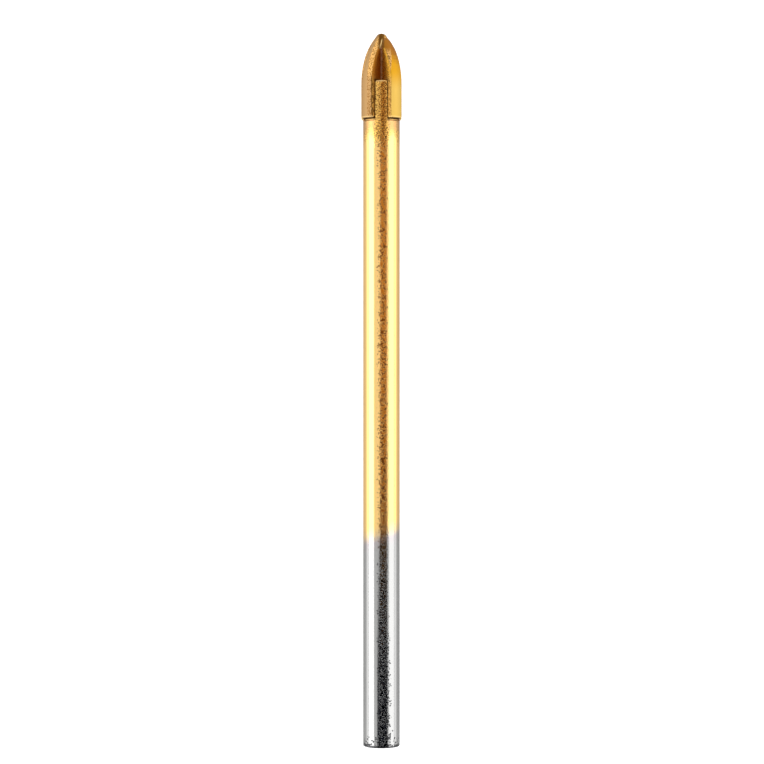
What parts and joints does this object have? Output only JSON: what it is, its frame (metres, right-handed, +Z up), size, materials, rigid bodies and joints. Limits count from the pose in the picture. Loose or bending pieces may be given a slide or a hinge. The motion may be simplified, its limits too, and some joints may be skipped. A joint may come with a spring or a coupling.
{
  "type": "multi-material drill bit",
  "caption": "Rotary bit with a four-winged carbide ogive head brazed into a crossed slot in a plain round steel shank, for drilling tile, brick, wood and plastic",
  "frame": {"origin": "on the ground under the middle of the bit's length, as it lies at rest", "axes": "+Y runs along the bit to its point, +Z is up, +X to the right; the axis rises 0.16 degrees towards the point, because the head is thicker than the shank"},
  "size_m": [0.0056, 0.1, 0.0057],
  "materials": {
    "shank_steel": "gold nitride coat over turned steel, bare steel for the last 29 mm at the chuck end",
    "carbide": "ground tungsten carbide under a gold nitride coat",
    "braze_filler": "brazing filler, dull and grainy under the same coat"
  },
  "bodies": {
    "root": {"shank": "shank_steel", "main_cutter": "carbide", "side_cutter_left": "carbide", "side_cutter_right": "carbide", "braze": "braze_filler"}
  },
  "joints": []
}
